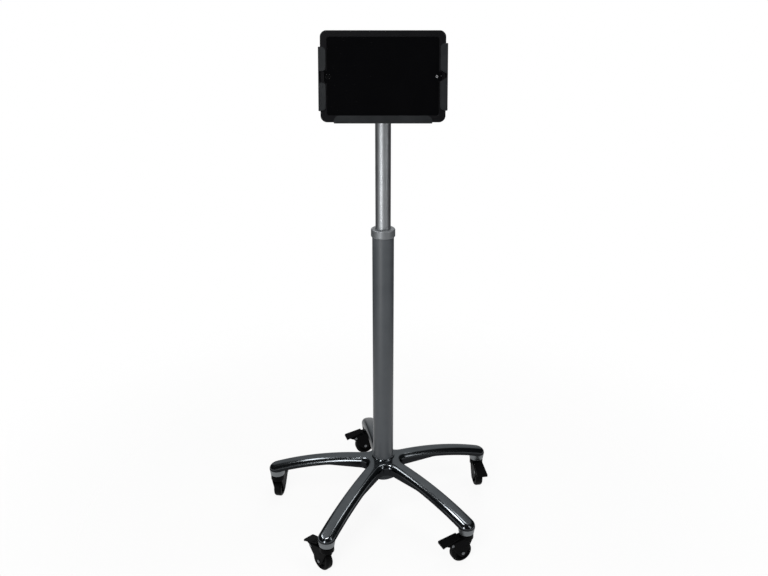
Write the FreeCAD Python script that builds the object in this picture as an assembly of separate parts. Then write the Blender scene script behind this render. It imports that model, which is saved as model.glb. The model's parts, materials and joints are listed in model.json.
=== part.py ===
import FreeCAD, Part
import math
import os

# Rolling tablet stand, in millimetres. +Z is up and the person using it stands at -Y.
# The origin is the point of the floor under the column's axis.

Vector = FreeCAD.Vector

# Gaps
running_gap = 0.08  # radial, where one piece turns or slides on another
seat_gap = 0.05  # radial, where one piece is held still in another
face_gap = 0.3  # between faces that move past each other
overrun = 1.0  # how far a cut runs past a face
match = 0.001  # how near an edge must lie to the place that it is looked for

# Star base
arm_count = 5
first_arm_angle = 26.4  # degrees from +X
stem_reach = 270.0  # column's axis to the axis of a caster's stem
caster_height = 70.0  # floor to the underside of a boss
arm_root_half_width = 17.8
boss_radius = 19.6
boss_foot_radius = 17.3
boss_foot_height = 15.0
boss_height = 32.1  # underside of a boss to the arm's top over the stem
crotch_radius = 20.0
crown_height = 151.0  # floor to the top of the arch on the axis
arm_depth = 17.0  # crown to an arm's underside, out toward the boss
arm_root_depth = 29.0  # top of the arch to the level underside round the hub
shoulder_radius = 13.0
arm_wall = 4.0
arm_roof = 5.0
pocket_root_gap = 24.0  # hub to the hollow under an arm
pocket_tip_gap = 38.0  # that hollow to the stem's axis
pocket_round = 8.0
rib_count = 3
rib_thickness = 3.5
hub_radius = 38.0
hub_depth = 44.0  # crown to the underside of the hub
hub_ring_height = 3.0  # the hub's raised ring round the column
hub_ring_radius = 29.0
hub_ring_slope = 3.0
socket_wall = 3.3
socket_floor = 4.0
socket_drop = 8.0  # how far the socket hangs below the hub
hub_ring_sink = 5.0  # how deep the foot of that ring's cone lies in the crown

# Column
outer_tube_radius = 24.15
tube_wall = 2.5
outer_tube_length = 624.0
inner_tube_radius = 16.85
inner_tube_length = 648.0
plug_height = 40.0
column_bolt_radius = 5.0
column_bolt_length = 36.0
column_bolt_head_radius = 9.2
column_bolt_head_height = 6.4
column_washer_radius = 12.5
column_washer_thickness = 2.0
guide_ring_height = 28.0
guide_ring_inset = 2.0

# Collar at the top of the outer tube
collar_radius = 26.9
collar_height = 18.8
collar_lip = 3.8  # how far the collar stands above the tube
collar_round = 3.0
collar_mouth_gap = 0.5
bush_height = 47.0
bush_flange = 1.5
clamp_screw_radius = 4.0
clamp_head_radius = 6.5
clamp_head_height = 6.0
clamp_socket_radius = 2.5
clamp_socket_depth = 4.0

# Neck and tilt joint
pivot_height = 1055.0  # floor to the tilt axis, at the middle of the column's travel
neck_height = 37.0  # top of the inner tube to the tilt axis
face_lean = 13.0  # degrees that the screen leans back from upright
spigot_depth = 40.0
neck_foot_height = 6.0
neck_foot_radius = 21.5
neck_floor = 9.0  # top of the tube to the floor of the fork
ear_radius = 14.0
ear_thickness = 6.0
ear_gap = 20.0
tilt_pin_radius = 4.0
tilt_head_radius = 7.5
tilt_head_height = 5.0
tilt_nut_height = 6.5
tilt_thread_end = 2.0
tilt_washer_radius = 8.0
tilt_washer_thickness = 1.6
neck_screw_radius = 2.5
neck_screw_length = 8.0
neck_screw_drop = 18.0  # below the top of the tube
tongue_radius = 13.0
knuckle_neck_half = 11.0
knuckle_flange_front = 26.0  # from the tilt axis toward the screen
knuckle_flange_thickness = 6.0
knuckle_flange_radius = 24.0

# Rotation joint
friction_washer_radius = 20.0
friction_washer_thickness = 1.0
spindle_radius = 6.0
spindle_thread_radius = 5.0
spindle_thread_length = 18.0
spindle_head_radius = 10.0
spindle_head_height = 1.4
plate_thickness = 4.0
plate_half = 58.0
plate_corner = 12.0
inner_bolt_spacing = 75.0
outer_bolt_spacing = 100.0
bolt_hole_radius = 2.25
plate_screw_radius = 2.0
plate_screw_head_radius = 3.6
plate_screw_head_height = 1.2
plate_screw_length = 5.4

# Tablet and its case
tablet_width = 240.0
tablet_height = 169.5
tablet_thickness = 6.8
tablet_corner = 10.0
tablet_edge_round = 2.5
glass_thickness = 0.7
case_width = 254.0
case_height = 181.4
case_depth = 13.0
case_corner = 13.0
case_round = 2.6
case_back_wall = 1.9
frame_depth = 3.3
screen_opening_width = 226.0
screen_opening_height = 154.6
screen_opening_corner = 4.5
screen_bevel = 1.2
button_cut_reach = 118.9
button_cut_top = 12.0
button_cut_bottom = -14.0
button_cut_corner = 5.0
camera_cut_place = 114.5
camera_cut_radius = 10.0
home_button_place = -111.5
home_button_radius = 5.5
home_button_height = 1.6
home_button_travel = 0.5
camera_place = 109.0
camera_radius = 2.2
camera_height = 1.0

# Cradle, one folded sheet
sheet = 2.0
cradle_side_gap = 1.9  # between the case and a side wall
cradle_front_gap = 1.0  # between the case and a lip
pad_radius = 11.0
pad_thickness = 1.5
pad_place_u = 88.0
pad_place_v = 55.0
bend_radius = 3.5  # outside
lip_width = 15.0
lip_corner = 9.0
left_wall_bottom = -68.0
left_wall_top = 58.0
right_wall_bottom = -67.0
right_wall_top = 65.0
left_notch_bottom = -12.5
left_notch_top = 10.5
notch_corner = 7.0
right_notch_middle = 1.6
right_notch_half_root = 4.5
right_notch_half_mouth = 11.8
right_notch_corner = 2.5
back_plate_top = 68.0
back_plate_inset = 5.5
back_plate_corner = 12.0
ledge_half_width = 100.0
ledge_corner = 11.0
spindle_opening_radius = 12.0

# Casters. In a caster's own frame +X trails, +Y is the axle and the stem is at the origin.
caster_headings = (279.0, 198.0, 80.0, 134.0, 205.0)
wheel_radius = 25.0
wheel_trail = 14.0
tread_width = 19.0
tread_corner = 5.0
core_radius = 18.5
core_width = 16.0
core_web_width = 9.0
core_rim = 3.0
hub_bore_wall = 4.5
fork_width = 27.0
cheek_thickness = 3.0
fork_top_gap = 1.5  # boss to fork, filled by the swivel washer
cap_radius = 16.6
cap_height = 14.0
cap_round = 3.0
fork_roof = 8.2
front_wall_place = -9.0  # along the trail; the cap closes the fork in front of it
fork_round = 2.0
fork_nose = (-2.0, 58.0, 8.0)  # along the trail, up, radius
pin_place = (41.0, 52.5)
pin_cheek_radius = 6.2
axle_cheek_radius = 9.5
rear_slot_start = 20.0
axle_radius = 3.0
pin_radius = 2.5
rivet_head_rim = 0.9
rivet_head_height = 1.3
stem_radius = 5.5
stem_head_radius = 8.0
stem_head_height = 2.5
stem_rise = 22.0  # above the boss's underside
grip_ring_height = 8.0
grip_ring_drop = 2.0
grip_ring_thickness = 0.9
swivel_washer_radius = 12.0
lever_eye_radius = 6.2
lever_root = 22.0
lever_tip = 66.0
lever_root_half = 11.0
lever_tip_half = 14.0
lever_root_height = 65.0
lever_tip_height = 53.5
lever_thickness = 2.6
lever_lip = 1.4
lever_corner = 2.5
lever_root_corner = 1.0
shoe_angle = 37.1  # degrees at the axle, up from the trailing direction
shoe_gap = 1.45
shoe_radius = 2.2
web_front = 32.0
web_rear = 57.0
web_round = 2.5

# Heights that follow from the sizes above
boss_foot_top = caster_height + boss_foot_height
arm_drop = crown_height - caster_height - boss_height
crown_radius = (stem_reach**2 + arm_drop**2) / (2 * arm_drop)  # the arms' tops lie on one large ball
pocket_start = hub_radius + pocket_root_gap  # along an arm, from the column's axis
pocket_end = stem_reach - pocket_tip_gap
arm_root_bottom = crown_height - arm_root_depth
hub_bottom = crown_height - hub_depth
socket_bottom = hub_bottom - socket_drop
outer_tube_bottom = socket_bottom + socket_floor
outer_tube_top = outer_tube_bottom + outer_tube_length
inner_tube_top = pivot_height - neck_height
outer_tube_bore = outer_tube_radius - tube_wall
inner_tube_bore = inner_tube_radius - tube_wall
collar_top = outer_tube_top + collar_lip
collar_bottom = collar_top - collar_height
clamp_height = (collar_bottom + outer_tube_top) / 2

# Places in front of the tilt axis, square to the screen
plate_rear = knuckle_flange_front + friction_washer_thickness + face_gap
plate_front = plate_rear + plate_thickness
cradle_front = plate_front + sheet
case_rear = cradle_front + pad_thickness + face_gap
case_front = case_rear + case_depth
lip_rear = case_front + cradle_front_gap
lip_front = lip_rear + sheet
frame_rear = case_front - frame_depth
glass_rear = frame_rear - face_gap / 3 - glass_thickness
glass_front = glass_rear + glass_thickness
tablet_rear = glass_rear - tablet_thickness
cradle_half_width = case_width / 2 + cradle_side_gap + sheet
ledge_bottom = case_height / 2 + face_gap + sheet


def rod(radius, start, end, x=0.0, y=0.0):
    return Part.makeCylinder(radius, end - start, Vector(x, y, start))


def rod_along(radius, axis, start, end, height=0.0):
    # round bar along a level axis, at a height above the local origin
    return Part.makeCylinder(radius, end - start, axis * start + Vector(0, 0, height), axis)


def ring(outer, inner, start, end, x=0.0, y=0.0):
    hole = rod(inner, start - overrun, end + overrun, x, y)
    return rod(outer, start, end, x, y).cut(hole)


def block(x0, x1, y0, y1, z0, z1):
    return Part.makeBox(x1 - x0, y1 - y0, z1 - z0, Vector(x0, y0, z0))


def hexagon(corner_radius, start, end):
    points = []
    for side in range(7):
        angle = math.radians(60 * side)
        points.append(Vector(corner_radius * math.cos(angle), corner_radius * math.sin(angle), start))
    return Part.Face(Part.makePolygon(points)).extrude(Vector(0, 0, end - start))


def on_circle(x, y, radius, angle):
    return Vector(x + radius * math.cos(angle), y + radius * math.sin(angle), 0)


def belt(circles):
    # face inside a belt drawn tight round circles (x, y, radius) taken anticlockwise
    count = len(circles)
    normals = []
    for i in range(count):
        x0, y0, r0 = circles[i]
        x1, y1, r1 = circles[(i + 1) % count]
        travel = math.atan2(y1 - y0, x1 - x0)
        normals.append(travel - math.acos((r0 - r1) / math.hypot(x1 - x0, y1 - y0)))
    edges = []
    for i in range(count):
        x, y, radius = circles[i]
        start = normals[i - 1]
        turn = (normals[i] - start) % (2 * math.pi)
        first = on_circle(x, y, radius, start)
        middle = on_circle(x, y, radius, start + turn / 2)
        last = on_circle(x, y, radius, start + turn)
        edges.append(Part.Arc(first, middle, last).toShape())
        x1, y1, r1 = circles[(i + 1) % count]
        edges.append(Part.LineSegment(last, on_circle(x1, y1, r1, normals[i])).toShape())
    return Part.Face(Part.Wire(edges))


def rounded(corners):
    # face inside straight sides, with a round of its own at each corner (x, y, radius)
    count = len(corners)
    edges = []
    ends = []
    for i in range(count):
        x, y, radius = corners[i]
        here = Vector(x, y, 0)
        back = Vector(corners[i - 1][0], corners[i - 1][1], 0) - here
        on = Vector(corners[(i + 1) % count][0], corners[(i + 1) % count][1], 0) - here
        half = back.getAngle(on) / 2
        back.normalize()
        on.normalize()
        if radius == 0:
            ends.append((here, here))
            continue
        reach = radius / math.tan(half)
        toward = (back + on).normalize()
        middle = here + toward * (radius / math.sin(half) - radius)
        first = here + back * reach
        last = here + on * reach
        edges.append(Part.Arc(first, middle, last).toShape())
        ends.append((first, last))
    for i in range(count):
        start = ends[i][1]
        end = ends[(i + 1) % count][0]
        edges.append(Part.LineSegment(start, end).toShape())
    return Part.Face(Part.Wire(Part.__sortEdges__(edges)))


def raised(face, start, end):
    face = face.copy()
    face.translate(Vector(0, 0, start))
    return face.extrude(Vector(0, 0, end - start))


def soft_box(half_x, half_y, corner, start, end):
    corners = [(-half_x, -half_y, corner), (half_x, -half_y, corner)]
    corners += [(half_x, half_y, corner), (-half_x, half_y, corner)]
    return raised(rounded(corners), start, end)


def level_edges(shape, height):
    # edges that lie flat at one height
    found = []
    for edge in shape.Edges:
        box = edge.BoundBox
        if abs(box.ZMin - height) < match and abs(box.ZMax - height) < match:
            found.append(edge)
    return found


def ball(radius):
    # solid ball under the crown; it is turned so that its seam stays low
    shape = Part.makeSphere(radius)
    shape.rotate(Vector(0, 0, 0), Vector(1, 0, 0), 90)
    shape.translate(Vector(0, 0, crown_height - crown_radius))
    return shape


def arm_angle(index):
    return first_arm_angle + 360.0 * index / arm_count


def around(shape, index):
    copy = shape.copy()
    copy.rotate(Vector(0, 0, 0), Vector(0, 0, 1), arm_angle(index))
    return copy


def all_around(shape):
    return [around(shape, index) for index in range(arm_count)]


def star_block():
    # five arms in plan, with rounded crotches, standing from the floor up to the arch
    outline = belt([(0, 0, arm_root_half_width), (stem_reach, 0, boss_radius)])
    arms = all_around(raised(outline, 0, crown_height + overrun))
    star = arms[0].multiFuse(arms[1:]).removeSplitter()
    crotches = []
    for edge in star.Edges:
        middle = edge.CenterOfMass
        upright = edge.BoundBox.ZLength > crown_height
        if upright and math.hypot(middle.x, middle.y) < stem_reach / 2:
            crotches.append(edge)
    star = star.makeFillet(crotch_radius, crotches)
    return star.common(ball(crown_radius))


def rounded_shoulders(star):
    for face in star.Faces:
        if isinstance(face.Surface, Part.Sphere):
            return star.makeFillet(shoulder_radius, face.Edges)


def arm_half_width(distance):
    return arm_root_half_width + (boss_radius - arm_root_half_width) * distance / stem_reach


def arm_pocket():
    # hollow under one arm, split by ribs
    root = arm_half_width(pocket_start) - arm_wall
    tip = arm_half_width(pocket_end) - arm_wall
    face = belt([(pocket_start, 0, root), (pocket_end, 0, tip)])
    pocket = raised(face, caster_height, crown_height).common(ball(crown_radius - arm_roof))
    for top in pocket.Faces:
        if isinstance(top.Surface, Part.Sphere):
            pocket = pocket.makeFillet(pocket_round, top.Edges)
            break
    spacing = (pocket_end - pocket_start) / (rib_count + 1)
    for rib in range(1, rib_count + 1):
        middle = pocket_start + spacing * rib
        low = middle - rib_thickness / 2
        high = middle + rib_thickness / 2
        pocket = pocket.cut(block(low, high, -boss_radius, boss_radius, 0, crown_height))
    return pocket


def star_base():
    star = rounded_shoulders(star_block())
    boss = rod(boss_radius, boss_foot_top - overrun, crown_height, stem_reach)
    below = ball(crown_radius - arm_depth).common(rod(stem_reach + 2 * boss_radius, 0, arm_root_bottom))
    below = below.cut(rod(hub_radius, hub_bottom, crown_height))
    for kept in all_around(boss):
        below = below.cut(kept)
    star = star.cut(below).cut(rod(stem_reach + 2 * boss_radius, -overrun, boss_foot_top))
    below_stem = Vector(stem_reach, 0, caster_height)
    foot = Part.makeCone(boss_foot_radius, boss_radius, boss_foot_height, below_stem)
    socket = rod(outer_tube_radius + socket_wall, socket_bottom, hub_bottom + overrun)
    rise = hub_ring_height + hub_ring_sink
    ring_foot = Vector(0, 0, crown_height - hub_ring_sink)
    hub_ring = Part.makeCone(hub_ring_radius, hub_ring_radius - hub_ring_slope, rise, ring_foot)
    star = star.multiFuse(all_around(foot) + [socket, hub_ring])
    for pocket in all_around(arm_pocket()):
        star = star.cut(pocket)
    bore = rod(outer_tube_radius + seat_gap, outer_tube_bottom, crown_height + hub_ring_height + overrun)
    bolt_hole = rod(column_bolt_radius + face_gap, 0, crown_height)
    stem_hole = rod(stem_radius + running_gap, 0, caster_height + stem_rise + overrun, stem_reach)
    for cut in all_around(stem_hole) + [bore, bolt_hole]:
        star = star.cut(cut)
    return star


def outer_column():
    tube = ring(outer_tube_radius, outer_tube_bore, outer_tube_bottom, outer_tube_top)
    return tube.cut(clamp_hole())


def clamp_hole():
    back = Vector(0, 1, 0)
    return rod_along(clamp_screw_radius + seat_gap, back, 0, collar_radius + overrun, clamp_height)


def column_foot_plug():
    top = outer_tube_bottom + plug_height
    return ring(outer_tube_bore - seat_gap, column_bolt_radius + seat_gap, outer_tube_bottom, top)


def column_washer():
    bottom = socket_bottom - column_washer_thickness
    return ring(column_washer_radius, column_bolt_radius + face_gap, bottom, socket_bottom)


def column_bolt():
    head_top = socket_bottom - column_washer_thickness
    head = hexagon(column_bolt_head_radius, head_top - column_bolt_head_height, head_top)
    return head.fuse(rod(column_bolt_radius, head_top - overrun, head_top + column_bolt_length))


def column_collar():
    collar = rod(collar_radius, collar_bottom, collar_top)
    rims = level_edges(collar, collar_top) + level_edges(collar, collar_bottom)
    collar = collar.makeFillet(collar_round, rims)
    seat = outer_tube_top + bush_flange + seat_gap
    collar = collar.cut(rod(outer_tube_radius + seat_gap, collar_bottom - overrun, seat))
    mouth = inner_tube_radius + collar_mouth_gap
    collar = collar.cut(rod(mouth, collar_bottom, collar_top + overrun))
    return collar.cut(clamp_hole())


def collar_bush():
    bush = rod(outer_tube_bore - seat_gap, outer_tube_top - bush_height, outer_tube_top)
    bush = bush.fuse(rod(outer_tube_radius, outer_tube_top, outer_tube_top + bush_flange))
    bore = rod(inner_tube_radius + running_gap, outer_tube_bottom, collar_top)
    return bush.cut(bore).cut(clamp_hole())


def collar_clamp_screw():
    back = Vector(0, 1, 0)
    tip = inner_tube_radius + face_gap
    head_end = collar_radius + clamp_head_height
    key_floor = head_end - clamp_socket_depth
    screw = rod_along(clamp_screw_radius, back, tip, collar_radius + overrun, clamp_height)
    head = rod_along(clamp_head_radius, back, collar_radius, head_end, clamp_height)
    key = rod_along(clamp_socket_radius, back, key_floor, head_end + overrun, clamp_height)
    return head.fuse(screw).cut(key)


def neck_screw_height():
    return inner_tube_top - neck_screw_drop


def neck_screw_holes(radius):
    reach = inner_tube_radius + overrun
    return rod_along(radius, Vector(1, 0, 0), -reach, reach, neck_screw_height())


def inner_column():
    tube = ring(inner_tube_radius, inner_tube_bore, inner_tube_top - inner_tube_length, inner_tube_top)
    return tube.cut(neck_screw_holes(neck_screw_radius + seat_gap))


def lower_guide_ring():
    bottom = inner_tube_top - inner_tube_length + guide_ring_inset
    outer = outer_tube_bore - running_gap
    return ring(outer, inner_tube_radius + seat_gap, bottom, bottom + guide_ring_height)


def neck_clevis():
    spigot = rod(inner_tube_bore - seat_gap, inner_tube_top - spigot_depth, inner_tube_top)
    tube_end = Vector(0, 0, inner_tube_top)
    foot = Part.makeCone(inner_tube_radius, neck_foot_radius, neck_foot_height, tube_end)
    floor = inner_tube_top + neck_floor
    body = rod(neck_foot_radius, inner_tube_top + neck_foot_height, floor)
    half = ear_gap / 2 + ear_thickness
    across = Vector(1, 0, 0)
    ears = block(-half, half, -ear_radius, ear_radius, floor, pivot_height)
    ears = ears.fuse(rod_along(ear_radius, across, -half, half, pivot_height))
    top = pivot_height + ear_radius + overrun
    ears = ears.cut(block(-ear_gap / 2, ear_gap / 2, -neck_foot_radius, neck_foot_radius, floor, top))
    neck = spigot.multiFuse([foot, body, ears]).removeSplitter()
    reach = half + overrun
    neck = neck.cut(rod_along(tilt_pin_radius + seat_gap, across, -reach, reach, pivot_height))
    return neck.cut(neck_screw_holes(neck_screw_radius + seat_gap))


def neck_set_screws():
    across = Vector(1, 0, 0)
    outer = inner_tube_radius
    inner = outer - neck_screw_length
    height = neck_screw_height()
    right = rod_along(neck_screw_radius, across, inner, outer, height)
    left = rod_along(neck_screw_radius, across, -outer, -inner, height)
    return Part.makeCompound([right, left])


def tilt_stack():
    # outer face of an ear, then of its washer
    ear = ear_gap / 2 + ear_thickness
    return ear, ear + tilt_washer_thickness


def tilt_pin():
    washer = tilt_stack()[1]
    across = Vector(1, 0, 0)
    end = washer + tilt_nut_height + tilt_thread_end
    pin = rod_along(tilt_pin_radius, across, -washer, end, pivot_height)
    head = rod_along(tilt_head_radius, across, -washer - tilt_head_height, -washer, pivot_height)
    return pin.fuse(head)


def tilt_nut():
    washer = tilt_stack()[1]
    nut = hexagon(tilt_head_radius, washer, washer + tilt_nut_height)
    nut = nut.cut(rod(tilt_pin_radius + seat_gap, washer - overrun, washer + tilt_nut_height + overrun))
    nut.rotate(Vector(0, 0, 0), Vector(0, 1, 0), 90)
    nut.translate(Vector(0, 0, pivot_height))
    return nut


def tilt_washers():
    ear, washer = tilt_stack()
    washers = []
    for side in (0, 180):
        disc = ring(tilt_washer_radius, tilt_pin_radius + seat_gap, ear, washer)
        disc.rotate(Vector(0, 0, 0), Vector(0, 1, 0), 90 + side)
        disc.translate(Vector(0, 0, pivot_height))
        washers.append(disc)
    return Part.makeCompound(washers)


def to_head(shape):
    # pieces of the head are drawn face up round the tilt axis, then stood up
    shape.rotate(Vector(0, 0, 0), Vector(1, 0, 0), 90 - face_lean)
    shape.translate(Vector(0, 0, pivot_height))
    return shape


def tilt_knuckle():
    across = Vector(1, 0, 0)
    half = ear_gap / 2 - face_gap
    rear = knuckle_flange_front - knuckle_flange_thickness
    tongue = rod_along(tongue_radius, across, -half, half)
    arm = block(-half, half, -knuckle_neck_half, knuckle_neck_half, 0, rear + overrun)
    flange = rod(knuckle_flange_radius, rear, knuckle_flange_front)
    knuckle = tongue.multiFuse([arm, flange]).removeSplitter()
    reach = half + overrun
    knuckle = knuckle.cut(rod_along(tilt_pin_radius + running_gap, across, -reach, reach))
    deep = knuckle_flange_front - spindle_thread_length - face_gap
    thread = rod(spindle_thread_radius + seat_gap, deep, knuckle_flange_front + overrun)
    return knuckle.cut(thread)


def rotation_washer():
    end = knuckle_flange_front + friction_washer_thickness
    return ring(friction_washer_radius, spindle_radius + seat_gap, knuckle_flange_front, end)


def rotation_spindle():
    thread = rod(spindle_thread_radius, knuckle_flange_front - spindle_thread_length, knuckle_flange_front)
    head_rear = plate_front + face_gap
    shank = rod(spindle_radius, knuckle_flange_front, head_rear)
    head = rod(spindle_head_radius, head_rear, head_rear + spindle_head_height)
    return thread.multiFuse([shank, head])


def square_pattern(spacing):
    half = spacing / 2
    return [(x, y) for x in (-half, half) for y in (-half, half)]


def cut_holes(shape, places, radius, start, end):
    for x, y in places:
        shape = shape.cut(rod(radius, start - overrun, end + overrun, x, y))
    return shape


def rotation_plate():
    plate = soft_box(plate_half, plate_half, plate_corner, plate_rear, plate_front)
    plate = cut_holes(plate, square_pattern(outer_bolt_spacing), bolt_hole_radius, plate_rear, plate_front)
    thread = plate_screw_radius + seat_gap
    plate = cut_holes(plate, square_pattern(inner_bolt_spacing), thread, plate_rear, plate_front)
    return cut_holes(plate, [(0, 0)], spindle_radius + running_gap, plate_rear, plate_front)


def cradle_screws():
    screws = []
    for x, y in square_pattern(inner_bolt_spacing):
        shank = rod(plate_screw_radius, cradle_front - plate_screw_length, cradle_front, x, y)
        head = rod(plate_screw_head_radius, cradle_front, cradle_front + plate_screw_head_height, x, y)
        screws.append(shank.fuse(head))
    return Part.makeCompound(screws)


def pad_places():
    return [(x, y) for x in (-pad_place_u, pad_place_u) for y in (-pad_place_v, pad_place_v)]


def cradle_pads():
    front = cradle_front + pad_thickness
    return Part.makeCompound([rod(pad_radius, cradle_front, front, x, y) for x, y in pad_places()])


def folded_edge(outside, start, end):
    # back strip, wall and lip of the sheet, with the wall at +X = outside
    inside = outside - lip_width
    outer = block(inside, outside, start, end, plate_front, lip_front)
    outer = outer.makeFillet(bend_radius, edges_at(outer, outside))
    face = outside - sheet
    inner = block(inside - overrun, face, start - overrun, end + overrun, cradle_front, lip_rear)
    inner = inner.makeFillet(bend_radius - sheet, edges_at(inner, face))
    return outer.cut(inner)


def edges_at(shape, x):
    # long edges of a block at one x, along y
    found = []
    for edge in shape.Edges:
        box = edge.BoundBox
        if abs(box.XMin - x) < match and box.XLength < match and box.ZLength < match:
            found.append(edge)
    return found


def trimmed(edge, tabs, box):
    # keeps the lip only inside its tabs; the wall below the bend stays whole
    waste = block(*box, lip_rear - bend_radius + sheet, lip_front + overrun)
    for tab in tabs:
        waste = waste.cut(raised(tab, case_rear, lip_front + 2 * overrun))
    return edge.cut(waste)


def left_edge():
    edge = folded_edge(cradle_half_width, -left_wall_top, -left_wall_bottom)
    edge.rotate(Vector(0, 0, 0), Vector(0, 0, 1), 180)
    far = -cradle_half_width - overrun
    near = -cradle_half_width + lip_width
    upper = [(far, left_notch_top, 0), (near, left_notch_top, notch_corner)]
    upper += [(near, left_wall_top, lip_corner), (far, left_wall_top, 0)]
    lower = [(far, left_wall_bottom, 0), (near, left_wall_bottom, lip_corner)]
    lower += [(near, left_notch_bottom, notch_corner), (far, left_notch_bottom, 0)]
    box = (far, near + overrun, left_wall_bottom - overrun, left_wall_top + overrun)
    return trimmed(edge, [rounded(upper), rounded(lower)], box)


def right_edge():
    edge = folded_edge(cradle_half_width, right_wall_bottom, right_wall_top)
    far = cradle_half_width + overrun
    near = cradle_half_width - lip_width
    root = cradle_half_width - bend_radius
    soft = right_notch_corner
    tabs = []
    for way, end in ((1, right_wall_top), (-1, right_wall_bottom)):
        mouth = right_notch_middle + way * right_notch_half_mouth
        neck = right_notch_middle + way * right_notch_half_root
        points = [(far, neck, 0), (far, end, 0), (near, end, lip_corner)]
        points += [(near, mouth, soft), (root, neck, soft)]
        tabs.append(rounded(points))
    box = (near - overrun, far, right_wall_bottom - overrun, right_wall_top + overrun)
    return trimmed(edge, tabs, box)


def bottom_edge():
    edge = folded_edge(ledge_bottom, -ledge_half_width, ledge_half_width)
    edge.rotate(Vector(0, 0, 0), Vector(0, 0, 1), -90)
    low = -ledge_bottom - overrun
    high = -ledge_bottom + lip_width
    half = ledge_half_width
    tab = [(-half, low, 0), (half, low, 0), (half, high, ledge_corner), (-half, high, ledge_corner)]
    box = (-half - overrun, half + overrun, low, high + overrun)
    return trimmed(edge, [rounded(tab)], box)


def cradle():
    half = cradle_half_width - back_plate_inset
    low = -case_height / 2 + sheet
    top = back_plate_top
    soft = back_plate_corner
    corners = [(-half, low, soft), (half, low, soft), (half, top, soft), (-half, top, soft)]
    back = raised(rounded(corners), plate_front, cradle_front)
    cradle = back.multiFuse([left_edge(), right_edge(), bottom_edge()]).removeSplitter()
    places = square_pattern(outer_bolt_spacing) + square_pattern(inner_bolt_spacing)
    cradle = cut_holes(cradle, places, bolt_hole_radius, plate_front, cradle_front)
    return cut_holes(cradle, [(0, 0)], spindle_opening_radius, plate_front, cradle_front)


def case_back_shell():
    shell = soft_box(case_width / 2, case_height / 2, case_corner, case_rear, frame_rear)
    shell = shell.makeFillet(case_round, level_edges(shell, case_rear))
    half_width = tablet_width / 2 + face_gap
    half_height = tablet_height / 2 + face_gap
    floor = case_rear + case_back_wall
    return shell.cut(soft_box(half_width, half_height, tablet_corner, floor, frame_rear + overrun))


def case_front_frame():
    frame = soft_box(case_width / 2, case_height / 2, case_corner, frame_rear, case_front)
    frame = frame.makeFillet(case_round, level_edges(frame, case_front))
    half_width = screen_opening_width / 2
    half_height = screen_opening_height / 2
    low = frame_rear - overrun
    high = case_front + overrun
    frame = frame.cut(soft_box(half_width, half_height, screen_opening_corner, low, high))
    rim = [edge for edge in level_edges(frame, case_front) if inside_opening(edge)]
    frame = frame.makeChamfer(screen_bevel, rim)
    corner = button_cut_corner
    points = [(-button_cut_reach, button_cut_bottom, corner), (0, button_cut_bottom, 0)]
    points += [(0, button_cut_top, 0), (-button_cut_reach, button_cut_top, corner)]
    frame = frame.cut(raised(rounded(points), low, high))
    return frame.cut(rod(camera_cut_radius, low, high, camera_cut_place))


def inside_opening(edge):
    # true for the edges of the screen opening, not for the rim of the case
    box = edge.BoundBox
    wide = max(abs(box.XMin), abs(box.XMax)) < screen_opening_width / 2 + overrun / 2
    high = max(abs(box.YMin), abs(box.YMax)) < screen_opening_height / 2 + overrun / 2
    return wide and high


def tablet_housing():
    housing = soft_box(tablet_width / 2, tablet_height / 2, tablet_corner, tablet_rear, glass_rear)
    housing = housing.makeFillet(tablet_edge_round, level_edges(housing, tablet_rear))
    pocket_floor = glass_front - home_button_height - home_button_travel - face_gap
    pocket_radius = home_button_radius + face_gap
    housing = housing.cut(rod(pocket_radius, pocket_floor, glass_rear + overrun, home_button_place))
    lens_floor = glass_front - camera_height
    return housing.cut(rod(camera_radius + seat_gap, lens_floor, glass_rear + overrun, camera_place))


def tablet_glass():
    glass = soft_box(tablet_width / 2, tablet_height / 2, tablet_corner, glass_rear, glass_front)
    button_hole = rod(home_button_radius + face_gap, tablet_rear, case_front, home_button_place)
    camera_hole = rod(camera_radius + seat_gap, tablet_rear, case_front, camera_place)
    return glass.cut(button_hole).cut(camera_hole)


def home_button():
    return rod(home_button_radius, glass_front - home_button_height, glass_front, home_button_place)


def camera_lens():
    return rod(camera_radius, glass_front - camera_height, glass_front, camera_place)


def upright(face, half_width):
    # drawn in trail and height, then stood up across the caster
    shape = raised(face, -half_width, half_width)
    shape.rotate(Vector(0, 0, 0), Vector(1, 0, 0), 90)
    return shape


def fork_top():
    return caster_height - fork_top_gap


def cheek_inside():
    return fork_width / 2 - cheek_thickness


def slot_top():
    return fork_top() - fork_roof


def caster_fork():
    pin_x, pin_z = pin_place
    axle = (wheel_trail, wheel_radius, axle_cheek_radius)
    body = upright(belt([axle, (pin_x, pin_z, pin_cheek_radius), fork_nose]), fork_width / 2)
    sides = [edge for edge in body.Edges if edge.BoundBox.YLength < match]
    body = body.makeFillet(fork_round, sides)
    cap_bottom = fork_top() - cap_height
    cap = rod(cap_radius, cap_bottom, fork_top())
    cap = cap.makeFillet(fork_round, level_edges(cap, fork_top()))
    cap = cap.makeFillet(cap_round, level_edges(cap, cap_bottom))
    gap = cheek_inside()
    far = pin_x + pin_cheek_radius + overrun
    near = fork_nose[0] - fork_nose[2] - overrun
    wheel_slot = block(front_wall_place, far, -gap, gap, 0, slot_top())
    low_slot = block(near, far, -gap, gap, 0, cap_bottom)
    rear_slot = block(rear_slot_start, far, -gap, gap, 0, fork_top())
    fork = body.fuse(cap).cut(wheel_slot).cut(low_slot).cut(rear_slot)
    fork = fork.cut(rod(stem_radius + running_gap, 0, caster_height))
    return drilled(drilled(fork, axle_radius + seat_gap, wheel_trail, wheel_radius),
                   pin_radius + seat_gap, pin_x, pin_z)


def drilled(shape, radius, trail, height):
    across = Vector(0, 1, 0)
    hole = rod_along(radius, across, -fork_width, fork_width, height)
    hole.translate(Vector(trail, 0, 0))
    return shape.cut(hole)


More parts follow.
